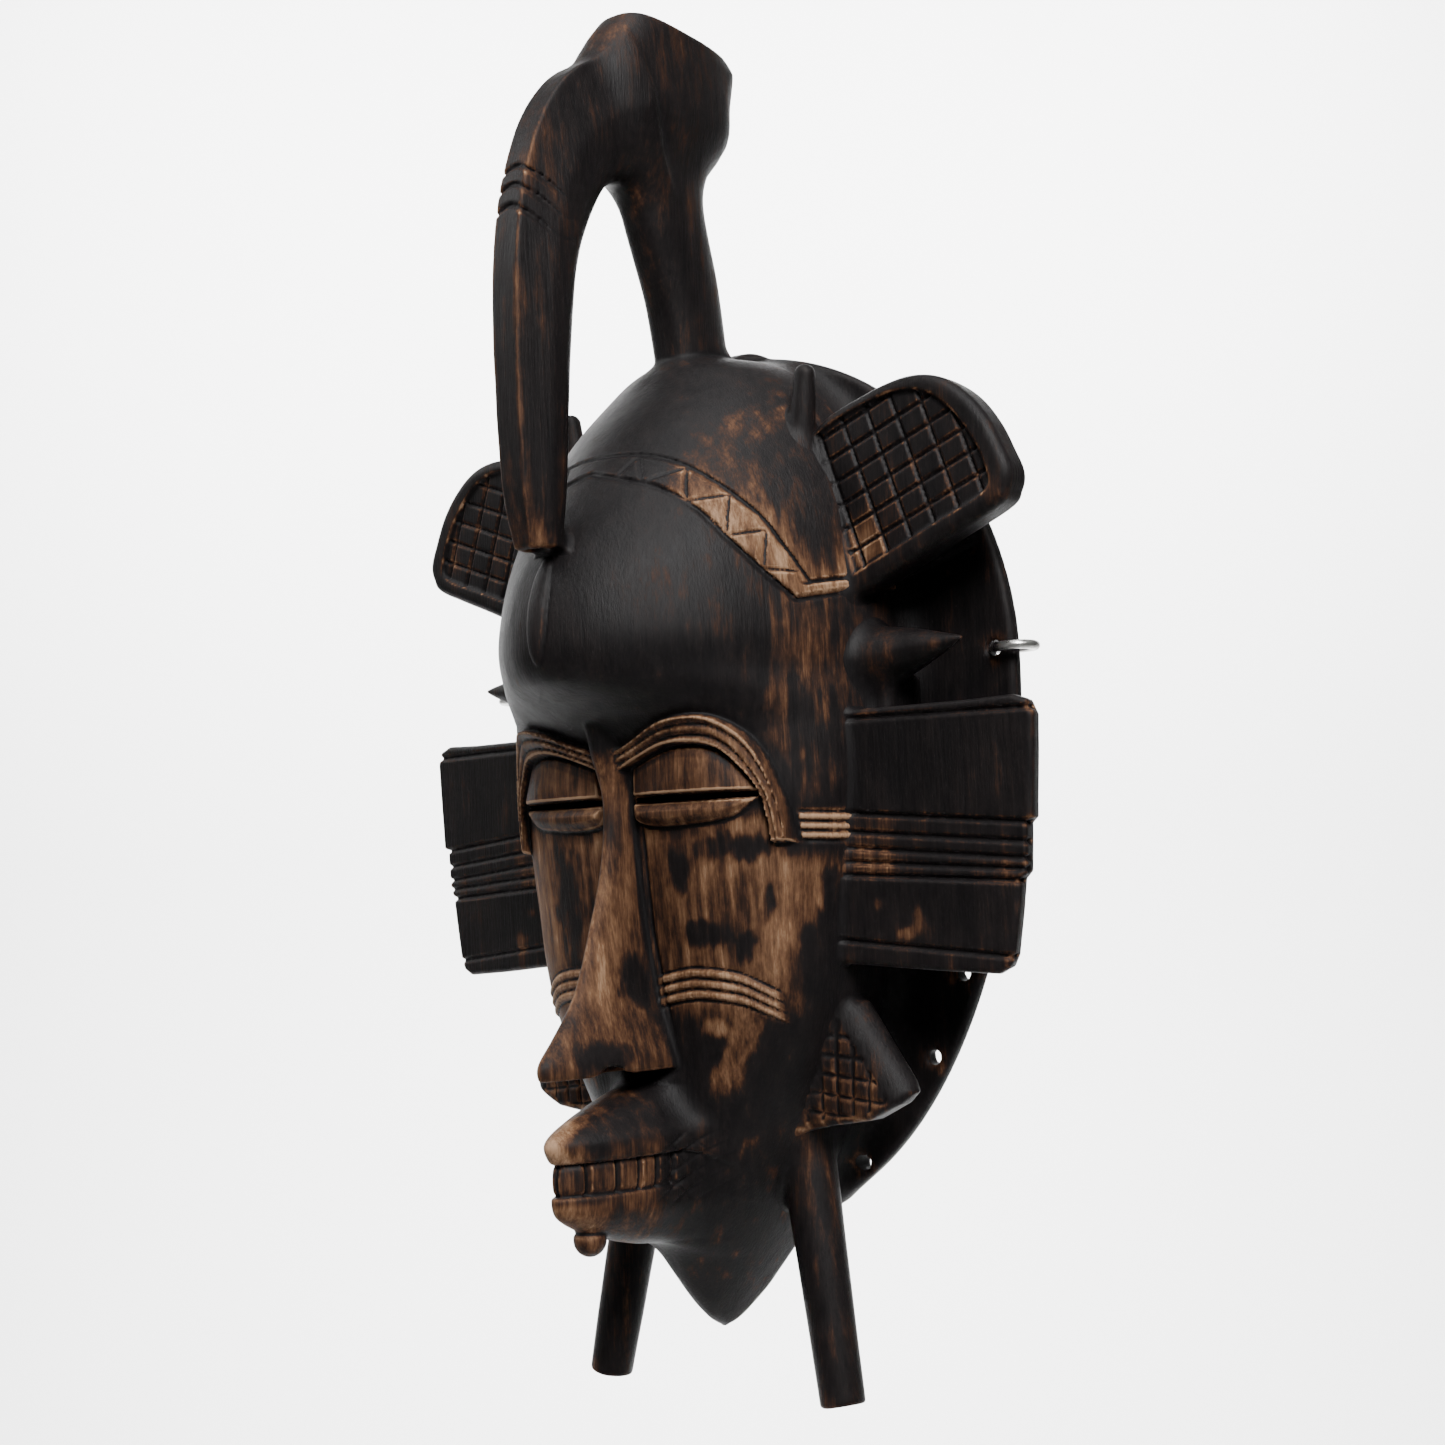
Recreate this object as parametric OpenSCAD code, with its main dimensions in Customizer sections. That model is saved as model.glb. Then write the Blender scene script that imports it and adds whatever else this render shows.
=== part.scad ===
// Carved wooden face mask with a long-beaked bird crest.
// Millimetres. +Z up, the face looks along -Y, and the flat back rests on a wall at y = 0.
// The origin is on the back, at the top centre, where the mask is held to the wall.
// Every "out" below is a distance from the wall towards the viewer.
// Heights are measured from the line of the eyes, then lowered by hang_z.

/* [Whole mask] */
// Height of the holding point on the back above the line of the eyes
hang_z = 134; // [128:1:139]
// Height where the dome of the forehead is split from the face below it
brow_z = 42; // [40:1:44]

/* [Back flange] */
// Half width of the oval flange
flange_w = 93; // [88:1:96]
// Height of the flange above its widest line
flange_up = 97; // [96:1:101]
// Depth of the flange below its widest line
flange_down = 155; // [150:1:158]
// Height of the flange's widest line
flange_mid = 51; // [48:1:54]
// Thickness of the flange
flange_t = 5; // [4:0.5:6]
// How far the back land stands proud behind the flange
land_t = 5; // [4:0.5:6]
// Radius of each hole near the flange's edge
rim_hole_r = 2.5; // [2.3:0.1:2.7]
// Distance from the flange's edge to the middle of the hole that holds a ring
rim_hole_inset = 6; // [5.5:0.5:6.5]

/* [Hollow] */
// Half width of the opening in the back
hollow_w = 46; // [40:1:48]
// Height of the opening above its widest line
hollow_up = 81; // [76:1:82]
// Depth of the opening below its widest line
hollow_down = 127; // [120:1:128]
// Height of the opening's widest line
hollow_mid = 45; // [42:1:48]
// Wall left between the hollow and the front of the face
wall_t = 15; // [14:1:18]
// Half height of each eye slit, which is a blind cut
slit_h = 1.2; // [1:0.1:1.8]
// Depth of each eye slit into the face
slit_depth = 8; // [5:0.5:9]

/* [Hanging rings] */
// Radius of the ring's wire
wire_r = 1.3; // [1.1:0.1:1.4]
// Radius of the ring, to the middle of its wire
ring_r = 5.5; // [5.3:0.1:6]

/* [Side panels and lobes] */
// Half width over the side panels, the widest part of the mask
panel_w = 109; // [106:1:114]
// Distance from the wall to the front edge of the side panels
panel_out = 29; // [27:1:31]
// Thickness of a side panel
panel_t = 6; // [5:0.5:7]
// How much a side panel sweeps towards the viewer at its root, in degrees
panel_sweep = 8.5; // [6:0.5:10]
// Thickness of an ear lobe
lobe_t = 11; // [10:0.5:12]
// Depth of the cut lines on panels and lobes
cut_depth = 1; // [0.6:0.1:1.4]

/* [Legs] */
// Radius of a leg where it leaves the jaw
leg_top_r = 8.2; // [7.5:0.1:8.5]
// Radius of a leg at its foot
leg_foot_r = 6.2; // [5.5:0.1:6.5]

/* [Hidden] */
$fn = 32;
STAIN = [0.16, 0.11, 0.09];
WORN = [0.42, 0.28, 0.18];
STEEL = [0.72, 0.72, 0.70];

flange_front = flange_t + land_t;
// Columns: height, half width, out at the root, out at the middle, squareness of the section.
dome_rows = [
    [brow_z, 60, flange_front, 84, 2], [50, 60, flange_front, 96, 1.7], [62, 60, flange_front, 98, 1.7],
    [80, 58.5, flange_front, 93, 1.7], [100, 55, flange_front, 79, 1.8], [120, 47, flange_front, 62, 1.9],
    [134.5, 35, flange_front, 47.5, 2], [142, 24, flange_front, 40, 2], [146.5, 8, flange_front + 3, 30, 2]];
face_rows = [
    [-131, 2.5, 28, 32, 2], [-127, 5.5, 23, 38, 2], [-118, 11.5, 17, 46, 2], [-97, 24.5, flange_front, 59, 2],
    [-73, 38.5, flange_front, 60, 2.4], [-40, 50.5, flange_front, 62, 3.2], [-10, 55, flange_front, 64, 3.2],
    [15, 58, flange_front, 66, 3.1], [28, 59.5, flange_front, 69, 2.7], [36, 60, flange_front, 75, 2.3],
    [brow_z, 60, flange_front, 84, 2]];
nose_rows = [
    [-56, 13, 50, 102, 1.7], [-52.5, 13, 50, 103.5, 1.6], [-45, 10.8, 50, 97, 1.7], [-34, 7.5, 50, 88, 1.8],
    [-18, 5.5, 52, 81, 2], [0, 4.6, 54, 75, 2], [17, 3.6, 56, 73, 2], [36, 4.4, 60, 80, 2]];
upper_lip_rows = [
    [-77.5, 17, 52, 99, 1.6], [-72, 16.5, 52, 101, 1.6], [-67, 13, 52, 92, 1.7], [-60, 9, 52, 70, 2]];
teeth_rows = [[-86, 15, 52, 98.5, 1.6], [-81.5, 15.5, 52, 99, 1.6], [-77.5, 16, 52, 98, 1.6]];
lower_lip_rows = [
    [-103, 8, 48, 68, 2], [-97, 11, 50, 87, 1.8], [-91.5, 13.5, 52, 97.5, 1.7], [-86, 14.5, 52, 99.5, 1.6]];
// Columns: out, height, half width, half depth, tilt of the section's depth from level.
neck_rows = [
    [26, 132, 8.4, 13, 0], [26.5, 145, 8.2, 12.2, 0], [30, 165, 8.2, 12.8, 0], [36.5, 187, 8.4, 14.5, 0],
    [38, 200, 8.8, 17, 0], [37, 212, 9, 20, 0]];
beak_rows = [
    [55, 212, 8.6, 15, 78], [67, 207, 8.6, 16, 62], [78.5, 196, 8.6, 15, 38], [87, 180, 8.6, 13.5, 18],
    [92, 163, 8.6, 12, 6], [94.5, 140, 8.5, 10.8, 0], [95.5, 120, 8.2, 9.8, 0], [96, 98, 7.4, 8.2, 0],
    [95.5, 84, 6, 6, 0]];
rim_hole_z = [54, -34, -57, -87];
// The lower a hole is, the nearer it is to the edge, so that it clears the jaw.
rim_hole_insets = [rim_hole_inset, rim_hole_inset - 0.5, rim_hole_inset - 1, rim_hole_inset - 2];
ring_z = rim_hole_z[0];
// Grooves across a side panel: height at its outer end, and how far each rises from the level, in degrees.
panel_cuts = [[35.9, -0.4], [6, -5.2], [0.9, -5.2], [-3.4, -5.2], [-6.2, -4.2], [-9.2, -3.6], [-29.2, -6]];

function at_power(v, p) = sign(v) * pow(abs(v), p);
function curve(rows, i, t) = let (
    a = rows[max(i - 1, 0)], b = rows[i], c = rows[i + 1], d = rows[min(i + 2, len(rows) - 1)])
    0.5 * (2 * b + (c - a) * t + (2 * a - 5 * b + 4 * c - d) * t * t + (3 * b - a - 3 * c + d) * t * t * t);
function smooth(rows, steps) = [
    for (i = [0 : len(rows) - 2]) for (s = [0 : steps - 1]) curve(rows, i, s / steps), rows[len(rows) - 1]];
// How wide the opening in the back is at a height, from 0 at its ends to 1 at its widest.
function hollow_share(z) = let (span = z > hollow_mid ? hollow_up : hollow_down)
    sqrt(max(0, 1 - pow((z - hollow_mid) / span, 2)));
function edge_x(z, inset) = let (span = (z > flange_mid ? flange_up : flange_down) - inset)
    (flange_w - inset) * sqrt(1 - pow((z - flange_mid) / span, 2));
function oval(half_w, up, down, mid) = [for (a = [0 : 5 : 355])
    [half_w * cos(a), mid + (a < 180 ? up : down) * sin(a)]];
// One level of a carved form: a bow from the left root round the front to the right root.
function bow(z, half_w, root, front, n, count) = [
    for (k = [0 : count - 1]) let (a = -90 + 180 * k / (count - 1))
    [half_w * at_power(sin(a), 2 / n), -root - (front - root) * at_power(cos(a), 2 / n), z]];
function flat(lists) = [for (l = lists) each l];
function reversed(l) = [for (i = [len(l) - 1 : -1 : 0]) l[i]];

module on_wall() {
    translate([0, 0, -hang_z]) children();
}

module mirrored(left) {
    mirror([left ? 1 : 0, 0, 0]) children();
}

// A solid through rings of points that all have the same count, closed at both ends.
module loft(rings) {
    n = len(rings[0]);
    m = len(rings);
    walls = [for (i = [0 : m - 2]) for (k = [0 : n - 1]) let (a = i * n + k, b = i * n + (k + 1) % n)
        each [[a, b, b + n], [a, b + n, a + n]]];
    first_end = [for (k = [1 : n - 2]) [0, k + 1, k]];
    last_end = [for (k = [1 : n - 2]) [(m - 1) * n, (m - 1) * n + k, (m - 1) * n + k + 1]];
    polyhedron(flat(rings), concat(walls, first_end, last_end));
}

// A carved form with a flat back, such as a nose.
module prow(rows, steps, count) {
    loft([for (r = smooth(rows, steps)) bow(r[0], r[1], r[2], r[3], r[4], count)]);
}

// A rounded bar along a curve in the middle plane.
module bar(rows, steps, count, n) {
    loft([for (r = smooth(rows, steps)) [for (k = [0 : count - 1])
        let (a = -360 * k / count,
            across = r[2] * at_power(cos(a), 2 / n),
            deep = r[3] * at_power(sin(a), 2 / n))
        [across, -r[0] - deep * cos(r[4]), r[1] + deep * sin(r[4])]]]);
}

// Part of the hollow head: each level is a C, open towards the wall.
module hollow_head(rows, steps, count) {
    levels = smooth(rows, steps);
    rings = [for (r = levels) let (
        share = hollow_share(r[0]),
        inner_w = min(max(hollow_w * share, 5), 0.6 * r[1]),
        depth = share * max(0, r[3] - r[2] - wall_t))
        concat(bow(r[0], r[1], r[2], r[3], r[4], count),
            reversed(bow(r[0], inner_w, r[2], r[2] + depth, r[4], count)))];
    n = 2 * count;
    m = len(rings);
    walls = [for (i = [0 : m - 2]) for (k = [0 : n - 1]) let (a = i * n + k, b = i * n + (k + 1) % n)
        each [[a, b, b + n], [a, b + n, a + n]]];
    // The end strips turn their diagonals at the middle, so that none lies along the flat back.
    strip = [for (k = [0 : count - 2]) let (a = k, b = k + 1, c = n - 2 - k, d = n - 1 - k)
        each k < count / 2 ? [[a, d, b], [d, c, b]] : [[a, c, b], [a, d, c]]];
    last_end = [for (t = strip) [for (p = reversed(t)) p + (m - 1) * n]];
    polyhedron(flat(rings), concat(walls, strip, last_end));
}

// A plate with a given front outline in x and z, from one distance out to another.
module plate(outline, near, far) {
    translate([0, -near, 0]) rotate([90, 0, 0]) linear_extrude(far - near) polygon(outline);
}

module back_flange() color(STAIN) on_wall() difference() {
    union() {
        plate(oval(flange_w, flange_up, flange_down, flange_mid), land_t, flange_front);
        plate(oval(hollow_w + 12, hollow_up + 15, hollow_down + 14, hollow_mid), 0, land_t);
    }
    plate(oval(hollow_w, hollow_up, hollow_down, hollow_mid), -1, flange_front + 1);
    for (i = [0 : len(rim_hole_z) - 1]) for (side = [-1, 1])
        translate([side * edge_x(rim_hole_z[i], rim_hole_insets[i]), -land_t + 1, rim_hole_z[i]])
            rotate([90, 0, 0]) cylinder(r = rim_hole_r, h = flange_t + 2);
}

module forehead_dome() color(STAIN) on_wall() hollow_head(dome_rows, 3, 25);

module face_shell() color(WORN) on_wall() difference() {
    hollow_head(face_rows, 3, 25);
    for (side = [-1, 1]) translate([side * 23, -66, 15.5]) rotate([0, side * -1, side * 18])
        cube([32, 2 * slit_depth, 2 * slit_h], center = true);
}

module nose() color(WORN) on_wall() prow(nose_rows, 3, 17);
module upper_lip() color(WORN) on_wall() prow(upper_lip_rows, 3, 17);
module teeth() color(WORN) on_wall() prow(teeth_rows, 2, 17);
module lower_lip() color(WORN) on_wall() prow(lower_lip_rows, 3, 17);

module lip_plug() color(WORN) on_wall() translate([0, -86, -97.5]) {
    cylinder(r = 4.2, h = 8);
    sphere(r = 4.2);
}

// A lid is a raised pad on the tilted cheek plane, above or below the slit.
module eyelid(left, upper) {
    tall = upper ? 15 : 6;
    sign_z = upper ? 1 : -1;
    mirrored(left) translate([22.5, -66, 15.5]) rotate([90, 0, 19])
        translate([0, sign_z * slit_h, -3]) linear_extrude(7)
            polygon([for (a = [0 : 15 : 180]) [17.5 * cos(a), sign_z * tall * sin(a)]]);
}

module right_upper_eyelid() color(WORN) on_wall() eyelid(false, true);
module left_upper_eyelid() color(WORN) on_wall() eyelid(true, true);
module right_lower_eyelid() color(WORN) on_wall() eyelid(false, false);
module left_lower_eyelid() color(WORN) on_wall() eyelid(true, false);

// The brow is a band of three ridges that arches over the lid and runs down beside it.
module brow(left) {
    inner = [for (a = [165 : -15 : 0]) [18.6 * cos(a), 16.5 * sin(a)]];
    outer = [for (a = [0 : 15 : 165]) [25 * cos(a), 24 * sin(a)]];
    mirrored(left) translate([22.5, -64, 15.5]) rotate([90, 0, 19]) linear_extrude(6)
        polygon(concat([[18.6, -11]], reversed(inner), reversed(outer), [[25, -11]]));
}

module right_brow() color(WORN) on_wall() brow(false);
module left_brow() color(WORN) on_wall() brow(true);

module crest_neck() color(STAIN) on_wall() bar(neck_rows, 3, 16, 2.6);
module beak() color(STAIN) on_wall() bar(beak_rows, 4, 16, 2.6);

module bird_head() color(STAIN) on_wall() translate([-9, 0, 0]) rotate([90, 0, 90]) linear_extrude(18)
    polygon([[-57, 210], [-63, 219], [-64, 227], [-61, 235], [-54, 241], [-46, 243.5], [-30, 243],
        [-19, 240.5], [-10, 237], [-8, 232], [-12, 222], [-19, 209]]);

module horn_peg(left) {
    mirrored(left) translate([41, -31.5, 111]) rotate([0, 7, 0]) {
        cylinder(r1 = 3.6, r2 = 2.4, h = 23);
        translate([0, 0, 23]) sphere(r = 2.4);
    }
}

module right_horn_peg() color(STAIN) on_wall() horn_peg(false);
module left_horn_peg() color(STAIN) on_wall() horn_peg(true);

// Outline of the ear lobe: a level root end, an arched top and a slanted underside.
function lobe_outline(inset) = [
    [44 + inset, 118 - inset], [52, 121.5 - inset], [62, 124.7 - inset], [70, 126.8 - inset],
    [77, 127.6 - inset], [84 - 0.2 * inset, 126.6 - inset], [90 - 0.4 * inset, 123.8 - inset],
    [96 - 0.6 * inset, 118.8 - 0.9 * inset], [101 - 0.8 * inset, 112 - 0.7 * inset],
    [104.8 - inset, 104.5 - 0.5 * inset], [107 - inset, 97.5], [105.5 - 0.8 * inset, 92.3 + 0.5 * inset],
    [101.5 - 0.4 * inset, 88 + inset], [82, 80.3 + inset], [52 + inset, 68.5 + inset]];

module ear_lobe(left) {
    front = panel_out + 3;
    mirrored(left) difference() {
        union() {
            plate(lobe_outline(0), front - lobe_t, front);
            plate([[48, 113], [76, 113], [86, 97], [82, 84], [50, 73]], flange_front, front - lobe_t);
        }
        plate(lobe_outline(3.4), front - cut_depth, front + 1);
    }
}

module right_ear_lobe() color(STAIN) on_wall() ear_lobe(false);
module left_ear_lobe() color(STAIN) on_wall() ear_lobe(true);

module spike(left) {
    mirrored(left) {
        translate([50, -23, 52]) rotate([0, 84, -6]) cylinder(r1 = 12, r2 = 0.8, h = 38);
        translate([52, -28, 34]) cube([12, 18, 14]);
    }
}

module right_spike() color(STAIN) on_wall() spike(false);
module left_spike() color(STAIN) on_wall() spike(true);

// The panel lies in a plane that turns towards the viewer at the root; three ridges cross it.
module side_panel(left) {
    reach = 60;
    mirrored(left) translate([panel_w, -panel_out, 0]) rotate([0, 0, panel_sweep])
        rotate([90, 0, 0]) translate([0, 0, -panel_t]) difference() {
            linear_extrude(panel_t) polygon([
                [-reach, 38.5], [-20, 38.7], [-6, 39.2], [-2, 37.8], [-0.4, 34], [-2, 7.5], [-3.6, 6],
                [-4.2, -6.5], [-6, -8.5], [-9, -28], [-10.5, -31], [-13.5, -32.5], [-30, -31.5],
                [-reach, -29]]);
            for (cut = panel_cuts) translate([0, cut[0], panel_t - cut_depth]) rotate([0, 0, cut[1]])
                translate([-reach - 5, -0.7, 0]) cube([reach + 8, 1.4, 2]);
        }
}

module right_side_panel() color(STAIN) on_wall() side_panel(false);
module left_side_panel() color(STAIN) on_wall() side_panel(true);

module cheek_flap(left) {
    mirrored(left) hull() {
        plate([[42, -38], [53, -40], [67, -61], [68, -64], [65, -67], [56, -71.5], [36, -74]], 26, 35);
        plate([[42, -44], [50, -47], [62, -63], [54, -69], [38, -72]], 26, 39);
    }
}

module right_cheek_flap() color(STAIN) on_wall() cheek_flap(false);
module left_cheek_flap() color(STAIN) on_wall() cheek_flap(true);

// A leg is a tapering round bar that splays out and forward, with a blunt foot.
module leg(left) {
    top = [25.5, -25, -64];
    foot = [41.8, -33, -148.2];
    run = foot - top;
    long = norm(run);
    mirrored(left) translate(top) rotate([0, 0, atan2(run[1], run[0])]) rotate([0, acos(run[2] / long), 0]) {
        cylinder(r1 = leg_top_r, r2 = leg_foot_r, h = long - 1.2);
        translate([0, 0, long - 1.2]) cylinder(r1 = leg_foot_r, r2 = leg_foot_r - 1.2, h = 1.2);
    }
}

module right_leg() color(STAIN) on_wall() leg(false);
module left_leg() color(STAIN) on_wall() leg(true);

// A closed ring of round wire in a level plane, through the upper rim hole and round the edge.
module hanging_ring(left) {
    mirrored(left) translate([edge_x(ring_z, rim_hole_inset) + ring_r - 0.3, -land_t - flange_t / 2, ring_z])
        rotate_extrude() translate([ring_r, 0]) circle(r = wire_r);
}

module right_ring() color(STEEL) on_wall() hanging_ring(false);
module left_ring() color(STEEL) on_wall() hanging_ring(true);

back_flange();
forehead_dome();
face_shell();
nose();
upper_lip();
teeth();
lower_lip();
lip_plug();
right_upper_eyelid();
left_upper_eyelid();
right_lower_eyelid();
left_lower_eyelid();
right_brow();
left_brow();
crest_neck();
bird_head();
beak();
right_horn_peg();
left_horn_peg();
right_ear_lobe();
left_ear_lobe();
right_spike();
left_spike();
right_side_panel();
left_side_panel();
right_cheek_flap();
left_cheek_flap();
right_leg();
left_leg();
right_ring();
left_ring();
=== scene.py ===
"""Looks of the carved wooden mask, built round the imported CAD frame.

The wood is made from signed-distance fields, in millimetres: x to the right, out from the wall towards
the viewer, z up from the line of the eyes. Each piece's field is meshed, then its points are moved
exactly onto the field. Wear and stain are worked out at each point and kept as mesh attributes.
"""
from concurrent.futures import ThreadPoolExecutor
import math

import bpy
import numpy as np
import openvdb
from mathutils import Matrix, Vector


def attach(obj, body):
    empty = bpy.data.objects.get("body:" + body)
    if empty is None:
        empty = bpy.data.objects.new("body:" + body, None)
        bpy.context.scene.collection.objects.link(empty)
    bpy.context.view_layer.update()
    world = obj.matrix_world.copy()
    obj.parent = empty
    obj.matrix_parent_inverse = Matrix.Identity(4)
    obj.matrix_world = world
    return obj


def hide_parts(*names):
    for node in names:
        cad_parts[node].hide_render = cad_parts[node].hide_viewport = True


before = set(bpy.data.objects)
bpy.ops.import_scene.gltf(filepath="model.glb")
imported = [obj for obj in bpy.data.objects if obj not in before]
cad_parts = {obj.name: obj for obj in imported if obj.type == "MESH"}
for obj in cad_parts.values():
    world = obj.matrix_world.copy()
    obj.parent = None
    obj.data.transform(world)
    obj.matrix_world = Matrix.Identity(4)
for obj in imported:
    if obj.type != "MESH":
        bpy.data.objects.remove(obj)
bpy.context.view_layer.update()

HANG_Z = 134.0  # mm from the line of the eyes up to the origin
BODY = "carving"

# ---------------------------------------------------------------- form tables, in millimetres
# Columns: height, half width, out at the root, out at the middle, squareness of the section.
HEAD_ROWS = [
    [-131, 2.5, 28, 32, 2], [-127, 5.5, 23, 38, 2], [-118, 11.5, 17, 46, 2], [-97, 24.5, 10, 59, 2],
    [-73, 38.5, 10, 60, 2.4], [-40, 50.5, 10, 62, 3.2], [-10, 55, 10, 64, 3.2], [15, 58, 10, 66, 3.1],
    [28, 59.5, 10, 69, 2.7], [36, 60, 10, 75, 2.3], [42, 60, 10, 84, 2], [50, 60, 10, 96, 1.7],
    [62, 60, 10, 98, 1.7], [80, 58.5, 10, 93, 1.7], [100, 55, 10, 79, 1.8], [120, 47, 10, 62, 1.9],
    [134.5, 35, 10, 47.5, 2], [142, 24, 10, 40, 2], [146.5, 8, 13, 30, 2]]
NOSE_ROWS = [
    [-60, 12.4, 50, 100, 1.7], [-52.5, 12.2, 50, 103.5, 1.6], [-45, 10.2, 50, 97, 1.7],
    [-34, 7.5, 50, 88, 1.8], [-18, 5.5, 52, 81, 2], [0, 4.8, 54, 75, 2], [17, 5.0, 56, 73, 2],
    [30, 6.5, 58, 76.5, 2], [41, 6.5, 60, 79.5, 2]]
UPPER_LIP_ROWS = [
    [-77.5, 17, 52, 99, 1.6], [-72, 16.5, 52, 101, 1.6], [-67, 13, 52, 92, 1.7], [-60, 9, 52, 70, 2]]
TEETH_ROWS = [[-87, 15, 52, 98.5, 1.6], [-81.5, 15.5, 52, 99, 1.6], [-76.5, 16, 52, 98, 1.6]]
LOWER_LIP_ROWS = [
    [-103, 8, 48, 68, 2], [-97, 11, 50, 87, 1.8], [-91.5, 13.5, 52, 97.5, 1.7], [-86, 14.5, 52, 99.5, 1.6]]
# Columns: out, height, half width, half depth, tilt of the section's depth from level.
NECK_ROWS = [
    [26, 132, 8.4, 13, 0], [26.5, 145, 8.2, 12.2, 0], [30, 165, 8.2, 12.8, 0], [36.5, 187, 8.4, 14.5, 0],
    [38, 200, 8.8, 17, 0], [37, 211, 9, 19, 0], [36, 224, 8, 18, 0], [35, 236, 5.5, 13, 0]]
BEAK_ROWS = [
    [55, 212, 8.6, 15, 78], [67, 207, 8.6, 16, 62], [78.5, 196, 8.6, 15, 38], [87, 180, 8.6, 13.5, 18],
    [92, 163, 8.6, 12, 6], [94.5, 140, 8.5, 10.8, 0], [95.5, 120, 8.2, 9.8, 0], [96, 98, 7.4, 8.2, 0],
    [95.5, 84, 6, 6, 0]]
HEAD_OUTLINE = [
    (57, 210), (63, 219), (64, 227), (61, 235), (54, 241), (46, 243.5), (30, 243), (19, 240.5), (10, 237),
    (8, 232), (12, 222), (19, 209)]
RIM_HOLES = [(54, 6), (-34, 5.5), (-57, 5), (-87, 4)]  # height, and distance in from the flange's edge
RIM_HOLE_R = 2.15
# Egg outlines: height of the widest line, half width there, reach above it and reach below it.
FLANGE = (51, 93, 97, 155)
LAND = (45, 58, 96, 141)
HOLLOW = (45, 46, 81, 127)
WALL = 15  # wood left in front of the hollow
FLANGE_OUT, FLANGE_HALF = 7.5, 2.5  # the flange's middle plane, and half its thickness
RING_R, WIRE_R = 5.5, 1.3
# Lines on the head, as places across and up, for the side at the right.
BROW_OUTER = [
    (3, 31), (9.9, 33.3), (22.1, 38), (32.9, 38.9), (39.6, 34.8), (44.2, 27.7), (47.7, 15.6), (48.8, 3.5)]
BROW_INNER = [
    (3, 24), (8.1, 26.4), (20.7, 30.4), (32.2, 29.7), (38.5, 23.8), (42.4, 17.2), (43.5, 9.5), (43.7, 3.5)]
LOWER_LID = [(5.2, 16.3), (5.7, 11.3), (13.2, 9.4), (26.6, 9.8), (35.7, 11.3), (42.0, 16.3)]
BAND_LOW = [
    (0, 107), (12.4, 103.7), (22.2, 100.4), (32.2, 93.5), (40.9, 82.6), (46.1, 75), (50, 68.8), (58, 72.5)]
BAND_HIGH = [
    (0, 112), (12.8, 111.2), (24, 107.6), (34.2, 100.8), (42.7, 92), (47.6, 82.5), (51.4, 73.3), (58, 76)]
SCAR = [(8, -30.8), (15, -29.3), (22, -28.8), (33, -30.6), (41, -35.6)]


# ---------------------------------------------------------------- numbers and noise
def spline(rows, steps=12):
    """Rows run through by a smooth curve, in steps to each gap."""
    rows = np.array(rows, float)
    out = []
    for i in range(len(rows) - 1):
        a, b, c, d = rows[max(i - 1, 0)], rows[i], rows[i + 1], rows[min(i + 2, len(rows) - 1)]
        for s in range(steps):
            t = s / steps
            out.append(0.5 * (2 * b + (c - a) * t + (2 * a - 5 * b + 4 * c - d) * t * t
                              + (3 * b - a - 3 * c + d) * t ** 3))
    return np.array(out + [rows[-1]])


class FlatMap:
    """A slow field of two coordinates, worked out once on a fine grid and then read between its points."""

    def __init__(self, field, low, high, cell=0.25):
        self.low, self.cell = low, cell
        axes = [np.arange(low[k], high[k] + cell, cell) for k in (0, 1)]
        self.values = field(*np.meshgrid(*axes, indexing="ij"))

    def __call__(self, a, b):
        i, j = [(np.asarray(v) - self.low[k]) / self.cell for k, v in enumerate((a, b))]
        i = np.clip(i, 0, self.values.shape[0] - 1.001)
        j = np.clip(j, 0, self.values.shape[1] - 1.001)
        i0, j0 = i.astype(np.int64), j.astype(np.int64)
        i, j = i - i0, j - j0
        v = self.values
        return ((v[i0, j0] * (1 - j) + v[i0, j0 + 1] * j) * (1 - i)
                + (v[i0 + 1, j0] * (1 - j) + v[i0 + 1, j0 + 1] * j) * i)


def inside(field, low, high, x, o, z, far=25.0):
    """The field where a point lies in a box, and far away elsewhere."""
    near = ((x > low[0]) & (x < high[0]) & (o > low[1]) & (o < high[1]) & (z > low[2]) & (z < high[2]))
    out = np.full(np.shape(x), far)
    if near.any():
        out[near] = field(x[near], o[near], z[near])
    return out


def step(x, low, high):
    t = np.clip((x - low) / (high - low), 0, 1)
    return t * t * (3 - 2 * t)


def soft_max(a, b, k):
    h = np.clip(0.5 + 0.5 * (a - b) / k, 0, 1)
    return b + (a - b) * h + k * h * (1 - h)


def soft_min(a, b, k):
    return -soft_max(-a, -b, k)


LATTICE = np.random.RandomState(11).rand(32, 32, 32).astype(np.float32) * 2 - 1


def noise(x, o, z, sx, so, sz, shift=0):
    """A smooth random field from -1 to 1, with bumps of about the given sizes."""
    cell, part = [], []
    for v, s in ((x, sx), (o, so), (z, sz)):
        v = np.asarray(v) / s + 7.3 * (shift + 1)
        low = np.floor(v)
        f = v - low
        part.append(f * f * (3 - 2 * f))
        cell.append(low.astype(np.int64))
    total = 0
    for i in (0, 1):
        for j in (0, 1):
            for k in (0, 1):
                weight = ((part[0] if i else 1 - part[0]) * (part[1] if j else 1 - part[1])
                          * (part[2] if k else 1 - part[2]))
                total = total + weight * LATTICE[(cell[0] + i) % 32, (cell[1] + j) % 32, (cell[2] + k) % 32]
    return total


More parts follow.
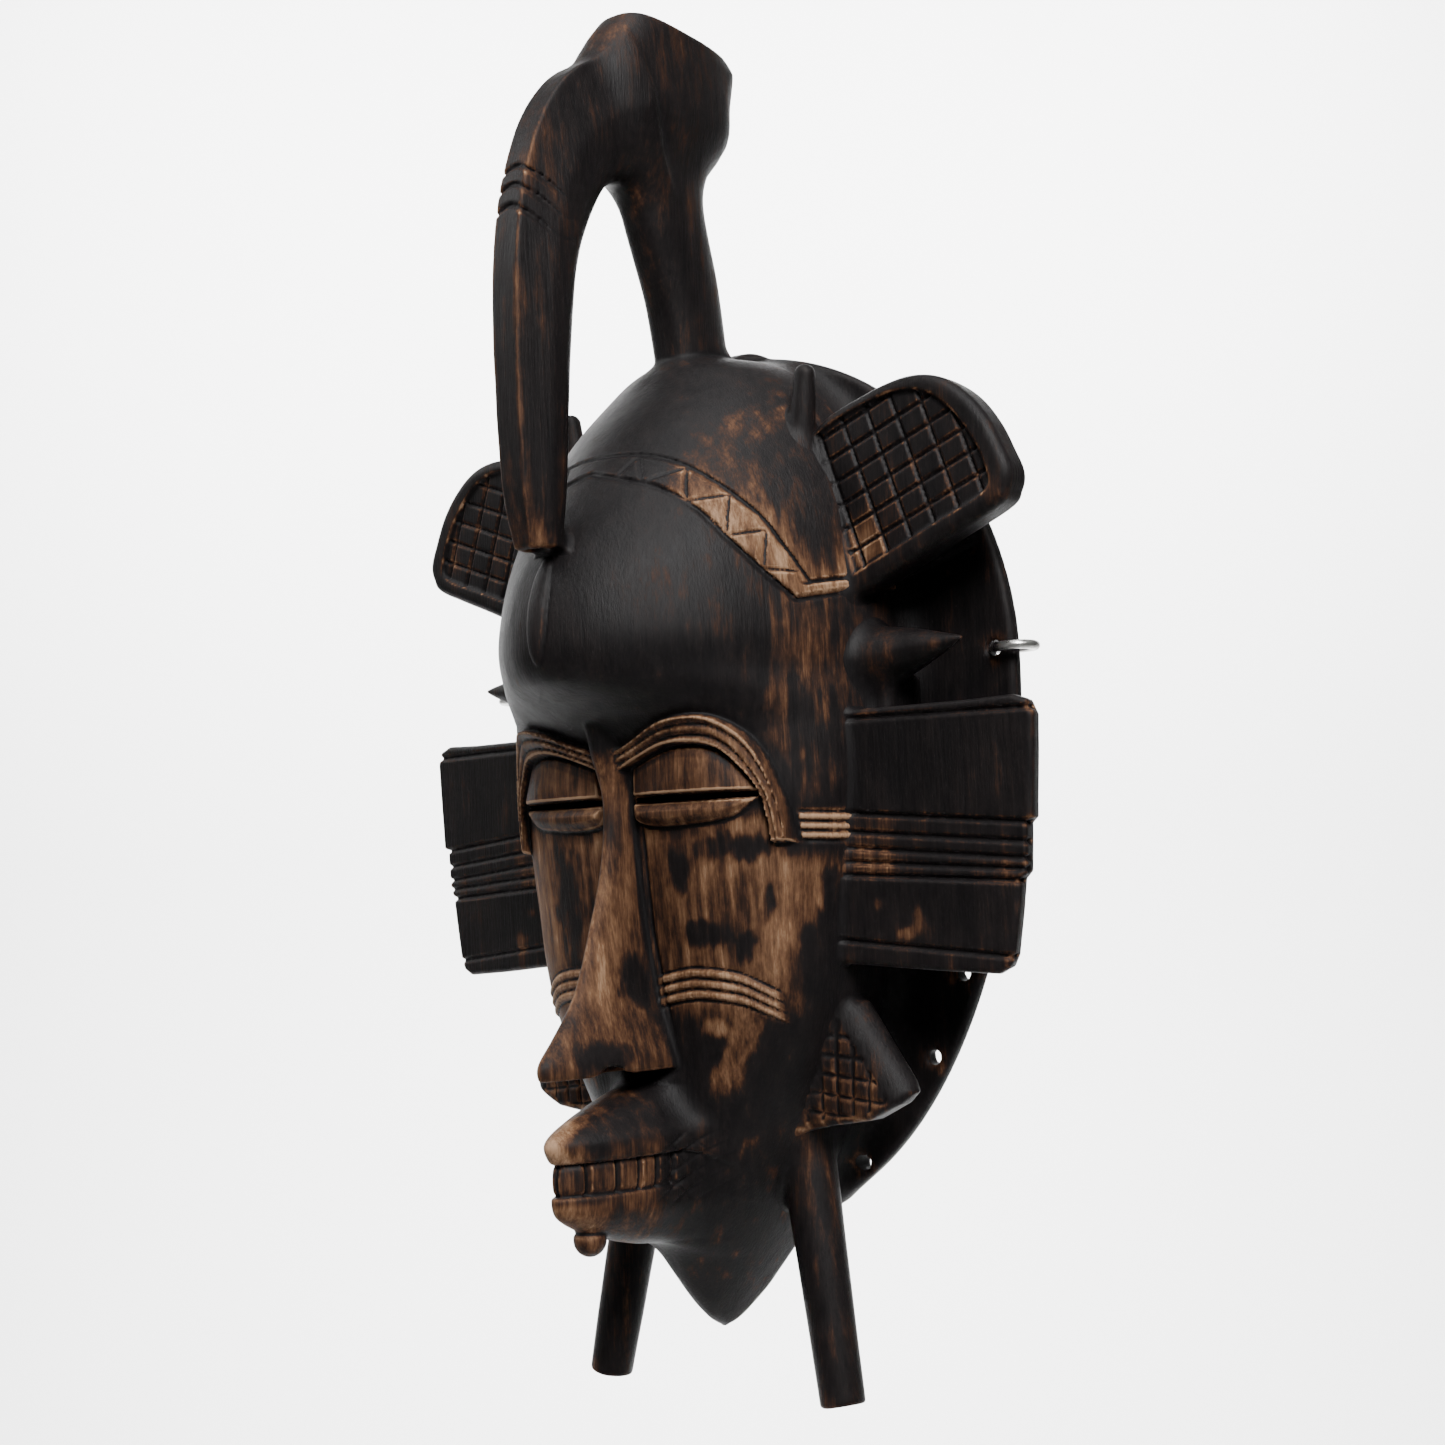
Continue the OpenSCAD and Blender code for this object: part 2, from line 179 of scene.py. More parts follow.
# ---------------------------------------------------------------- fields
def section(x, o, w, d, n):
    """Distance from a rounded section with half width w and depth d, squarer as n grows."""
    u = np.maximum(np.abs(x) / w, 1e-4)
    v = np.maximum(np.maximum(o, 0) / d, 1e-4)
    g = (u ** n + v ** n) ** (1 / n)
    return (g - 1) / np.hypot((u / g) ** (n - 1) / w, (v / g) ** (n - 1) / d)


class Prow:
    """A form with a flat back, given by rows of sections from below to above."""

    def __init__(self, rows):
        self.rows = spline(rows)

    def at(self, z):
        return [np.interp(z, self.rows[:, 0], self.rows[:, k]) for k in (1, 2, 3, 4)]

    def __call__(self, x, o, z):
        w, root, front, n = self.at(z)
        return section(x, o - root, w, front - root, n)


def ellipse(x, z, egg):
    """Distance from an egg outline."""
    middle, w, up, down = egg
    z = z - middle
    h = np.where(z > 0, up, down)
    u, v = x / w, z / h
    g = np.maximum(np.hypot(u, v), 1e-4)
    return (g - 1) * g / np.maximum(np.hypot(u / w, v / h), 1e-6)


def edge_x(z, inset):
    """Half the flange's width at a height, less an inset."""
    middle, w, up, down = FLANGE
    span = (up if z > middle else down) - inset
    return (w - inset) * math.sqrt(1 - ((z - middle) / span) ** 2)


def outline(x, z, points):
    """Signed distance from a closed outline in x and z."""
    best, inside = np.full(np.shape(x), 1e9), np.zeros(np.shape(x), bool)
    for (ax, az), (bx, bz) in zip(points, points[1:] + points[:1]):
        ex, ez = bx - ax, bz - az
        t = np.clip(((x - ax) * ex + (z - az) * ez) / (ex * ex + ez * ez), 0, 1)
        best = np.minimum(best, (x - ax - ex * t) ** 2 + (z - az - ez * t) ** 2)
        crosses = (az > z) != (bz > z)
        if ez:
            inside ^= crosses & (x < ax + ex * (z - az) / ez)
    return np.where(inside, -1, 1) * np.sqrt(best)


def slab(edge, across, half, r):
    """A flat piece with that edge distance, half thickness and rounding of its edges."""
    a, b = edge + r, np.abs(across) - half + r
    return np.minimum(np.maximum(a, b), 0) + np.hypot(np.maximum(a, 0), np.maximum(b, 0)) - r


def taper(x, o, z, a, b, ra, rb):
    """A round bar from a to b that narrows from radius ra to rb, with round ends."""
    a, b = np.array(a, float), np.array(b, float)
    e = b - a
    t = np.clip(((x - a[0]) * e[0] + (o - a[1]) * e[1] + (z - a[2]) * e[2]) / (e @ e), 0, 1)
    d = np.sqrt((x - a[0] - e[0] * t) ** 2 + (o - a[1] - e[1] * t) ** 2 + (z - a[2] - e[2] * t) ** 2)
    return d - (ra + (rb - ra) * t), t


class Bar:
    """A bar whose middle line lies in the plane x = 0, given by rows of sections along it.

    Its front can be cut to a flat facet, narrower than the bar, between two slanting ones.
    """

    def __init__(self, rows, squareness, low, high, facet=0):
        self.rows, self.n, self.facet = spline(rows, 8), squareness, facet
        self.along = FlatMap(lambda o, z: self.place(o, z)[0], low, high)
        self.off = FlatMap(lambda o, z: self.place(o, z)[1], low, high)

    def place(self, o, z):
        """How many rows along the bar a point is, and how far off its middle line."""
        line = self.rows
        last = len(line) - 2
        best, t_best, off = np.full(np.shape(o), 1e9), np.zeros(np.shape(o)), np.zeros(np.shape(o))
        for i in range(last + 1):
            a, e = line[i, :2], line[i + 1, :2] - line[i, :2]
            t = ((o - a[0]) * e[0] + (z - a[1]) * e[1]) / (e @ e)
            t = np.clip(t, -99 if i == 0 else 0, 99 if i == last else 1)
            do, dz = o - a[0] - e[0] * t, z - a[1] - e[1] * t
            d = np.hypot(do, dz)
            nearer = d < best
            best = np.where(nearer, d, best)
            t_best = np.where(nearer, i + t, t_best)
            off = np.where(nearer, (dz * e[0] - do * e[1]) / math.hypot(*e), off)
        return t_best, off

    def __call__(self, x, o, z):
        t, off = self.along(o, z), self.off(o, z)
        w, d = (np.interp(t, range(len(self.rows)), self.rows[:, k]) for k in (2, 3))
        u = np.maximum(np.abs(x) / w, 1e-4)
        v = np.maximum(np.abs(off) / d, 1e-4)
        g = (u ** self.n + v ** self.n) ** (1 / self.n)
        side = (g - 1) / np.hypot((u / g) ** (self.n - 1) / w, (v / g) ** (self.n - 1) / d)
        if self.facet:
            half = self.facet * w
            slant = ((np.abs(x) - half) * d + (off - d) * (w - half)) / np.hypot(d, w - half)
            front = soft_max(soft_max(off - d, slant, 0.7), np.abs(x) - w, 0.7)
            side = np.where(off > 0, front, soft_max(side, np.abs(x) - w, 0.7))
        return soft_max(side, np.maximum(-t, t - len(self.rows) + 1) * 2.0, 2.0)


def stroke(x, z, points, width, depth):
    """How deep a V-shaped cut along a line of places is here."""
    lows, highs = np.min(points, 0) - width, np.max(points, 0) + width
    near = (x > lows[0]) & (x < highs[0]) & (z > lows[1]) & (z < highs[1])
    out = np.zeros(np.shape(x))
    if near.any():
        best = from_line(x[near], z[near], points)
        out[near] = depth * np.clip(1 - best / (width / 2), 0, 1) ** 0.8
    return out


def from_line(x, z, points):
    """Distance from an open line of places."""
    best = np.full(np.shape(x), 1e9)
    for (ax, az), (bx, bz) in zip(points, points[1:]):
        ex, ez = bx - ax, bz - az
        t = np.clip(((x - ax) * ex + (z - az) * ez) / (ex * ex + ez * ez), 0, 1)
        best = np.minimum(best, (x - ax - ex * t) ** 2 + (z - az - ez * t) ** 2)
    return np.sqrt(best)


def ridges(t, count):
    """Rounded ridges side by side as t goes from 0 to 1, with a sharp groove at each end of each."""
    return np.where((t > 0) & (t < 1), np.abs(np.sin(count * math.pi * t)) ** 0.6, 0)


# ---------------------------------------------------------------- the head and the flange
head_form, nose_form = Prow(HEAD_ROWS), Prow(NOSE_ROWS)
upper_lip_form, teeth_form, lower_lip_form = Prow(UPPER_LIP_ROWS), Prow(TEETH_ROWS), Prow(LOWER_LIP_ROWS)
neck_form = Bar(NECK_ROWS, 2.6, (0, 120), (75, 250))
beak_form = Bar(BEAK_ROWS, 2.4, (30, 66), (118, 250), 0.52)


def hollow(x, o, z):
    """The space for the wearer's face: negative inside it."""
    middle, half, up, down = HOLLOW
    share = np.sqrt(np.maximum(0, 1 - ((z - middle) / np.where(z > middle, up, down)) ** 2))
    w, root, front, n = head_form.at(z)
    depth = np.maximum(share * (front - root - WALL), 0.5)
    bowl = section(x, o - root + 1, np.clip(half * share, 1, 0.62 * w), depth, n)
    bowl = soft_max(bowl, np.abs(z - 22) - 104, 6)
    mouth = np.maximum(ellipse(x, z, HOLLOW), o - 11)
    return soft_min(bowl, mouth, 5)


def skull(x, o, z):
    """The plain egg of the head, without its features and without the hollow."""
    w, root, front, n = head_form.at(z)
    outer = section(x, o - root, w, front - root, n)
    outer = soft_max(outer, z - 147, 4)
    outer = soft_max(outer, -132 - z, 2)
    return soft_max(outer, root - 4 * step(z, -100, -94) - o, 1 + 4 * step(z, -96, -104))


def rim_plate(x, o, z):
    rim = slab(ellipse(x, z, FLANGE), o - FLANGE_OUT, FLANGE_HALF, 1.8)
    land = slab(ellipse(x, z, LAND), o - 4, 4, 1.2)
    return soft_min(rim, land, 1.0)


def wood(x, o, z):
    """The head and the flange together, as what the smaller pieces grow from."""
    return soft_min(rim_plate(x, o, z), skull(x, o, z), 8)


def grown(piece, base, k, x, o, z):
    """The piece with a fillet where it leaves the base, which ends just under the base's surface."""
    out = piece - 1.25 * k
    near = piece < 1.25 * k + 2
    if near.any():
        fillet = soft_min(piece[near], base(x[near], o[near], z[near]) + 0.25, k)
        out[near] = soft_max(fillet, out[near], 1.0)
    return out


def flange_field(x, o, z):
    solid = grown(rim_plate(x, o, z), skull, 10, x, o, z)
    solid = soft_max(solid, -ellipse(x, z, HOLLOW), 1.5)
    for height, inset in RIM_HOLES:
        d = np.hypot(np.abs(x) - edge_x(height, inset), z - height) - RIM_HOLE_R
        solid = soft_max(solid, -d, 0.3)
    return solid + 0.12 * noise(x, o, z, 16, 16, 30, 1)


def curve(points):
    return [tuple(p) for p in spline(points, 5)]


def line_map(points, margin=10):
    low, high = np.min(points, 0) - margin, np.max(points, 0) + margin
    return FlatMap(lambda a, b: from_line(a, b, points), low, high)


def flat_outline(points, margin=14):
    """The distance from a closed outline, as a map."""
    low, high = np.min(points, 0) - margin, np.max(points, 0) + margin
    return FlatMap(lambda a, b: outline(a, b, points), low, high)


brow_outer, brow_inner = curve(BROW_OUTER), curve(BROW_INNER)
brow_edge = flat_outline(brow_outer + brow_inner[::-1])
from_outer, from_inner = line_map(brow_outer), line_map(brow_inner)
upper_lid_edge = flat_outline(brow_inner[4:-6] + [(42.3, 17.8), (5.8, 17.8)])
lower_lid_edge = flat_outline(curve(LOWER_LID))


def brow_across(x, z):
    inner, outer = from_inner(x, z), from_outer(x, z)
    return inner / np.maximum(inner + outer, 1e-6)


def eye_relief(x, z):
    """How far the lids and the brow stand out from the face, with x taken to the right."""
    band = -brow_edge(x, z)
    brow = step(band, 0, 1.1) * (1.5 + 1.5 * ridges(brow_across(x, z), 3))
    lid = -upper_lid_edge(x, z)
    from_brow = np.minimum(from_inner(x, z), 12)
    upper = step(lid, 0, 0.7) * 3.9 * np.sqrt(np.clip(from_brow / 9, 0, 1)) * (0.62 + 0.38 * step(x, 5, 15))
    lower = -lower_lid_edge(x, z)
    fat = 3.2 - 1.3 * step(x, 12, 38)
    lower = step(lower, 0, 0.5) * fat * np.sqrt(np.clip(lower / 2.6, 0, 1))
    slit = step(z, 16.2, 16.5) * step(-z, -17.9, -17.6) * step(x, 5.6, 6.6) * step(-x, -41.8, -40.6)
    return np.maximum(np.maximum(brow, upper), lower) - 2.5 * slit


SCAR_LINE = curve(SCAR)


def scar_across(x, z):
    return (np.interp(x, *zip(*SCAR_LINE)) - z) / 8.6


def band_lines(x, z):
    """Cuts of the band over the forehead, and the zigzag inside it."""
    low = [(px, pz) for px, pz in BAND_LOW[:-1]]
    cut = stroke(x, z, curve(low) + [BAND_LOW[-1]], 1.9, 1.0)
    cut = np.maximum(cut, stroke(x, z, curve(BAND_HIGH[:-1]) + [BAND_HIGH[-1]], 1.6, 0.9))
    zigzag = [(9.5, 104.6), (12.8, 110.8), (17.6, 102.4), (26.4, 106), (29.4, 96), (37, 97.5), (38.6, 86),
              (44.6, 87.5), (45.2, 76.8), (50.4, 76.4)]
    return np.maximum(cut, stroke(x, z, zigzag, 1.4, 0.7))


def head_relief(x, o, z):
    """How far carved detail stands out from the plain head."""
    side = np.abs(x)
    out = np.zeros(np.shape(x))
    front = o > 15
    eye = front & (side < 54) & (z > -4) & (z < 46)
    if eye.any():
        out[eye] = eye_relief(side[eye], z[eye])
    scar = front & (side > 6) & (side < 43) & (z > -50) & (z < -24)
    if scar.any():
        sx, sz = side[scar], z[scar]
        t = scar_across(sx, sz)
        ends = step(sx, 7, 9) * step(-sx, -42, -40)
        line = np.clip(1 - np.abs(t * 3 - np.round(t * 3)) / 0.28, 0, 1) * ((t > -0.12) & (t < 1.12))
        out[scar] = ends * (0.75 * ridges(t, 3) - 0.5 * line)
    temple = front & (side > 48.6) & (z > 0) & (z < 16)
    if temple.any():
        sx, sz = side[temple], z[temple]
        t = (12.2 - 0.1 * (sx - 46) - sz) / 7.6
        line = np.clip(1 - np.abs(t * 3 - np.round(t * 3)) / 0.3, 0, 1) * ((t > -0.12) & (t < 1.12))
        out[temple] += step(sx, 48.8, 49.8) * (0.6 * ridges(t, 3) - 0.7 * line)
    band = front & (z > 64) & (z < 120)
    if band.any():
        bx, bz = side[band], z[band]
        above = bz - np.interp(bx, *zip(*BAND_LOW))
        out[band] = 0.7 * step(above, -0.6, 0.4) * step(-bz, -118, -100) - band_lines(bx, bz)
    drop = front & (side < 5) & (o > 60) & (z > 48) & (z < 90)
    if drop.any():
        out[drop] += 1.7 * np.sqrt(np.clip(1 - (side[drop] / 3.4) ** 2 - ((z[drop] - 68) / 15) ** 2, 0, 1))
    fold = front & (side < 16) & (o < 74) & (z > -50) & (z < 12)
    if fold.any():
        w = np.interp(z[fold], [-50, -34, -18, 12], [11.5, 8.6, 6.4, 6.0])
        ends = step(z[fold], -50, -40) * step(-z[fold], -12, -4)
        out[fold] -= 0.6 * ends * np.clip(1 - np.abs(side[fold] - w - 0.6) / 0.9, 0, 1)
    return out


def muzzle(x, o, z):
    upper = soft_max(soft_max(upper_lip_form(x, o, z), -77.3 - z, 1.0), z + 60, 4)
    lower = soft_max(soft_max(lower_lip_form(x, o, z), z + 86, 1.2), -103 - z, 4)
    back = 99 - o
    gaps = np.min([np.abs(back - g) for g in (7.0, 15.0, 21.5, 27.0, 32.5)], axis=0)
    gaps = np.where(np.abs(x) < 3, np.minimum(np.abs(x), gaps), gaps)
    teeth = teeth_form(x, o, z) + 0.35 + 1.3 * np.clip(1 - gaps / 0.9, 0, 1)
    teeth = teeth + 0.6 * step(np.abs(z + 81.6), 2.4, 4.6)
    teeth = np.maximum(teeth, np.maximum(z + 76, -87 - z))
    shape = soft_min(np.minimum(upper, teeth), lower, 0.5)
    corner = step(-o, -74, -66) * step(z, -93, -89) * step(-z, 71, 74)
    cuts = np.minimum(np.abs((z + 0.55 * o) % 4.4 - 2.2), np.abs((z - 0.9 * o) % 7.4 - 3.7) + 0.25)
    return shape + corner * 0.55 * np.clip(1 - cuts / 0.8, 0, 1)


def nose_field(x, o, z):
    nose = soft_max(nose_form(x, o, z), -55.6 - z, 0.8)
    nostril = np.sqrt(((np.abs(x) - 5.2) / 3.4) ** 2 + ((o - 80) / 8) ** 2 + ((z + 56) / 4.5) ** 2)
    return soft_max(nose, -(nostril - 1) * 3.4, 1.0)


def plug(x, o, z):
    d, _ = taper(x, o, z, (0, 85, -92), (0, 86, -98.4), 4.2, 4.4)
    return d + 0.5 * np.clip(1 - np.abs(z + 96.5) / 0.9, 0, 1)


def head_field(x, o, z):
    plain = skull(x, o, z)
    face = plain.copy()
    near = (face > -8) & (face < 8)
    if near.any():
        face[near] -= head_relief(x[near], o[near], z[near])
    face = soft_min(face, inside(muzzle, (-38, 34, -114), (38, 112, -50), x, o, z), 8)
    face = soft_min(face, inside(plug, (-9, 74, -115), (9, 96, -86), x, o, z), 1.2)
    face = soft_min(face, inside(nose_field, (-26, 42, -72), (26, 115, 48), x, o, z), 1.3)
    eye = (np.abs(x) > 5) & (np.abs(x) < 43) & (z > 14) & (z < 20) & (o > 20)
    if eye.any():
        slit = np.maximum(np.abs(z[eye] - 17.05) - 0.6, np.abs(np.abs(x[eye]) - 23.5) - 17)
        face[eye] = soft_max(face[eye], -np.maximum(slit, -8 - plain[eye]), 0.4)
    tools = 0.16 * noise(x, o, z, 14, 14, 26, 2) + 0.07 * noise(x, o, z, 4, 4, 9, 4)
    return soft_max(face, -hollow(x, o, z), 2.0) + tools


# ---------------------------------------------------------------- crest, lobes, panels and the rest
bird_outline = flat_outline(curve(HEAD_OUTLINE + HEAD_OUTLINE[:1])[:-1], 34)


def crest_field(x, o, z):
    beak = beak_form(x, o, z)
    bend = z + np.where(np.abs(x) < 5, 0.10 * x * x, 2.5 + 1.7 * (np.abs(x) - 5))
    if (beak < 6).any():
        lines = np.min([np.abs(bend - g) for g in (187.5, 182.0, 176.0)], axis=0)
        beak = beak + 0.9 * np.clip(1 - lines / 1.0, 0, 1) * (o > 84) * step(-np.abs(x), -9, -6)
    top = slab(bird_outline(o, z), x, 9.4, 8)
    whole = soft_min(soft_min(beak, top, 10), neck_form(x, o, z), 14)
    pit = np.sqrt((x / 3.6) ** 2 + ((o - 96) / 4.2) ** 2 + ((z - 80.5) / 6) ** 2)
    whole = soft_max(whole, -(pit - 1) * 4, 0.8)
    tools = 0.14 * noise(x, o, z, 12, 12, 22, 3) + 0.06 * noise(x, o, z, 4, 4, 9, 5)
    return grown(whole, skull, 5, x, o, z) + tools


def lobe_outline(inset):
    return [
        (44 + inset, 118 - inset), (52, 121.5 - inset), (62, 124.7 - inset), (70, 126.8 - inset),
        (77, 127.6 - inset), (84 - 0.2 * inset, 126.6 - inset), (90 - 0.4 * inset, 123.8 - inset),
        (96 - 0.6 * inset, 118.8 - 0.9 * inset), (101 - 0.8 * inset, 112 - 0.7 * inset),
        (104.8 - inset, 104.5 - 0.5 * inset), (107 - inset, 97.5), (105.5 - 0.8 * inset, 92.3 + 0.5 * inset),
        (101.5 - 0.4 * inset, 88 + inset), (82, 80.3 + inset), (52 + inset, 68.5 + inset)]


LOBE_FIELD = [
    (46, 116), (54, 119.6), (64, 122.6), (72, 124), (79, 123.6), (86, 120.6), (92, 114.8), (97, 107.6),
    (100.4, 99.5), (99.6, 92.6), (82, 85.4), (57, 75.4)]
lobe_edge = flat_outline(curve(lobe_outline(2.5)))
lobe_inside = flat_outline(curve(LOBE_FIELD))
bracket_edge = flat_outline([(48, 113), (76, 113), (86, 97), (82, 84), (50, 73)])


def hatch(column, row, width):
    """How near a place is to a line of a grid whose spaces are 1 wide, from 0 to 1 on the line."""
    across = np.minimum(np.abs(column - np.round(column)) * width[0], np.abs(row - np.round(row)) * width[1])
    return np.clip(1 - across, 0, 1)


def lobe_grid(x, z):
    return (x + 0.34 * (z - 100) - 61.6) / 8.65, (z - 0.38 * (x - 80) - 84) / 7.1


def lobe_field(x, o, z):
    flat = slab(lobe_edge(x, z) - 2.5, o - 26.5, 5.5, 3.0)
    bracket = slab(bracket_edge(x, z), o - 15, 8, 3)
    solid = soft_min(flat, bracket, 5)
    field = -lobe_inside(x, z)
    column, row = lobe_grid(x, z)
    sink = 0.9 * step(field, 0, 1.2) + 1.0 * hatch(column, row, (9.5, 8.5)) * step(field, 0.3, 0.8)
    solid = solid + np.where(o > 27, sink, 0)
    solid = soft_max(grown(solid, wood, 3, x, o, z), -hollow(x, o, z), 1)
    return solid + 0.08 * noise(x, o, z, 6, 6, 9, 6)


def spike_field(x, o, z):
    a, b = np.array([46.0, 22.6, 51.6]), np.array([88.2, 27.0, 56.0])
    e = (b - a) / np.linalg.norm(b - a)
    t = (x - a[0]) * e[0] + (o - a[1]) * e[1] + (z - a[2]) * e[2]
    across = [v - a[i] - e[i] * t for i, v in enumerate((x, o, z))]
    flat = np.hypot(across[0], across[1])
    r = (np.maximum(flat, 1e-4) ** 1.7 + np.maximum(np.abs(across[2]), 1e-4) ** 1.7) ** (1 / 1.7)
    length = np.linalg.norm(b - a)
    radius = 12.8 * np.clip(1 - t / length, 0, 1) ** 0.84
    cone = soft_max((r - radius) * 0.93, t - length + 0.4, 0.6)
    web = slab(np.maximum(np.abs(x - 58) - 6, np.abs(z - 40) - 8), o - 20, 8, 3)
    solid = soft_min(cone, web, 4)
    return soft_max(grown(solid, wood, 4, x, o, z), -hollow(x, o, z), 1) + 0.08 * noise(x, o, z, 7, 7, 9, 7)


PANEL_OUTLINE = [
    (-60, 38.5), (-20, 38.7), (-6, 39.2), (-2, 37.8), (-0.4, 34), (-2, 7.5), (-3.6, 6), (-4.2, -6.5),
    (-6, -8.5), (-9, -28), (-10.5, -31), (-13.5, -32.5), (-30, -31.5), (-60, -29)]
# Grooves across a side panel: height at its outer end, and fall for each millimetre outwards.
PANEL_LINES = [
    (35.9, 0.007), (6, 0.091), (0.9, 0.091), (-3.4, 0.091), (-6.2, 0.073), (-9.2, 0.063), (-29.2, 0.105)]
panel_edge = flat_outline(PANEL_OUTLINE)


def panel_frame(x, o):
    c, s = math.cos(math.radians(8.5)), math.sin(math.radians(8.5))
    dx, dy = x - 109, 29 - o
    return dx * c + dy * s, -dx * s + dy * c


def panel_across(u, z):
    """Place across the raised band of a panel, from 0 at its lowest line to 1 at its highest."""
    return (z + 0.063 * u + 9.2) / (15.2 + 0.028 * -u)


def panel_field(x, o, z):
    u, back = panel_frame(x, o)
    solid = slab(panel_edge(u, z), back - 3, 3, 1.3)
    cut = np.zeros(np.shape(x))
    for height, fall in PANEL_LINES:
        cut = np.maximum(cut, 1.15 * np.clip(1 - np.abs(z - height + fall * u) / 1.0, 0, 1))
    band = 1 - step(np.abs(panel_across(u, z) - 0.5), 0.48, 0.56)
    solid = solid + np.where(back < 3, cut + 0.25 * band - 0.25, 0)
    solid = soft_max(grown(solid, wood, 2.5, x, o, z), -hollow(x, o, z), 1)
    return solid + 0.1 * noise(x, o, z, 16, 16, 10, 8)


FLAP_OUTLINE = [(40, -38), (53, -40), (67, -61), (68, -64), (65, -67), (56, -71.5), (32, -75)]
flap_edge = flat_outline(FLAP_OUTLINE)


def flap_grid(x, z):
    return (x - 0.05 * z) / 5.0, (z + 0.12 * x) / 5.4


def flap_field(x, o, z):
    edge = flap_edge(x, z)
    bevel = -((x - 53) * 0.83 + (z + 40) * 0.55)
    front = 31.0 + 6.6 * (1 - np.exp(-np.maximum(bevel, 0) / 4.2)) - 0.06 * np.maximum(-z - 50, 0)
    column, row = flap_grid(x, z)
    field = step(bevel, 6.4, 7.0) * step(-edge, 1.5, 2.5) * step(-x, -63, -61) * step(x, 34, 38)
    front = front - 0.75 * field * hatch(column, row, (4.6, 5.0))
    solid = soft_max(soft_max(edge, 26 - o, 3), o - front, 2.4)
    solid = soft_max(grown(solid, wood, 3, x, o, z), -hollow(x, o, z), 1)
    return solid + 0.06 * noise(x, o, z, 5, 5, 7, 9)


def leg_field(x, o, z):
    d, _ = taper(x, o, z, (25.5, 25, -64), (42.2, 33.4, -152), 8.2, 6.1)
    tip = ((x - 41.8) * 15.4 + (o - 33) * 8 + (z + 148.4) * -84.2) / 86.0
    solid = soft_max(d, tip, 1.2)
    solid = soft_max(grown(solid, wood, 5, x, o, z), -hollow(x, o, z), 1)
    return solid + 0.16 * noise(x, o, z, 7, 7, 18, 10)


def peg_field(x, o, z):
    d, _ = taper(x, o, z, (41, 31.5, 111), (43.8, 31.5, 133.4), 4.2, 3.0)
    return grown(d, wood, 2.5, x, o, z) + 0.08 * noise(x, o, z, 4, 4, 6, 11)


# ---------------------------------------------------------------- from a field to a mesh
BLOCK = 4
POOL = ThreadPoolExecutor(4)


def at(field, points):
    """The field at many points, worked out in parts side by side."""
    parts = np.array_split(points, max(1, len(points) // 60000))
    return np.concatenate(list(POOL.map(lambda p: field(*np.ascontiguousarray(p.T)), parts)))


def gradient(field, p, h=0.05):
    f = at(field, p)
    g = np.empty_like(p)
    for k in range(3):
        q = p.copy()
        q[:, k] += h
        g[:, k] = (at(field, q) - f) / h
    return f, g


def carve(field, low, high, cell):
    """Points and faces of the field's surface within a box. The field is only worked out near the surface."""
    low, high = np.array(low, float), np.array(high, float)
    span = cell * BLOCK
    count = np.ceil((high - low) / span).astype(int)
    centres = [low[k] + (np.arange(count[k]) + 0.5) * span - 0.5 * cell for k in range(3)]
    grid = np.meshgrid(*centres, indexing="ij")
    rough = at(field, np.stack([g.ravel() for g in grid], 1)).reshape(count)
    near = np.argwhere(np.abs(rough) < span * 1.6)
    values = np.where(rough > 0, span, -span).astype(np.float32)
    for k in range(3):
        values = np.repeat(values, BLOCK, axis=k)
    blocks = values.reshape(count[0], BLOCK, count[1], BLOCK, count[2], BLOCK).transpose(0, 2, 4, 1, 3, 5)
    offsets = np.stack(np.meshgrid(*[np.arange(BLOCK)] * 3, indexing="ij"), -1).reshape(-1, 3)
    p = low + (near[:, None, :] * BLOCK + offsets[None]) * cell
    f = at(field, p.reshape(-1, 3)).reshape(len(near), BLOCK, BLOCK, BLOCK)
    blocks[near[:, 0], near[:, 1], near[:, 2]] = f
    vdb = openvdb.FloatGrid(float(span))
    vdb.copyFromArray(values)
    points, quads = vdb.convertToQuads(0.0)
    points = low + np.asarray(points, float) * cell
    quads = np.asarray(quads, np.int64)
    pairs = np.concatenate([quads[:, [0, 1]], quads[:, [1, 2]], quads[:, [2, 3]], quads[:, [3, 0]]])
    joins = np.bincount(pairs.ravel(), minlength=len(points))
    for turn in range(4):
        if turn < 2:
            mean = np.zeros_like(points)
            for k in range(3):
                mean[:, k] = (np.bincount(pairs[:, 0], points[pairs[:, 1], k], len(points))
                              + np.bincount(pairs[:, 1], points[pairs[:, 0], k], len(points)))
            points += 0.5 * (mean / np.maximum(joins, 1)[:, None] - points)
        f, g = gradient(field, points)
        move = -(f / np.maximum((g * g).sum(1), 0.2))[:, None] * g
        size = np.linalg.norm(move, axis=1, keepdims=True)
        points += move * np.minimum(1, 0.8 * cell / np.maximum(size, 1e-9))
    return points, quads


def sunk(field, points, reach):
    """How far below its surroundings each point lies: above 0 in hollows and cuts, below 0 on edges."""
    _, g = gradient(field, points)
    n = g / np.maximum(np.linalg.norm(g, axis=1, keepdims=True), 1e-6)
    a = np.cross(n, [0.3, 0.5, 0.81])
    a /= np.maximum(np.linalg.norm(a, axis=1, keepdims=True), 1e-6)
    b = np.cross(n, a)
    total = 0
    for side in (a, -a, b, -b):
        total = total - at(field, points + side * reach)
    return np.clip(total / 4 / reach, -1, 1)


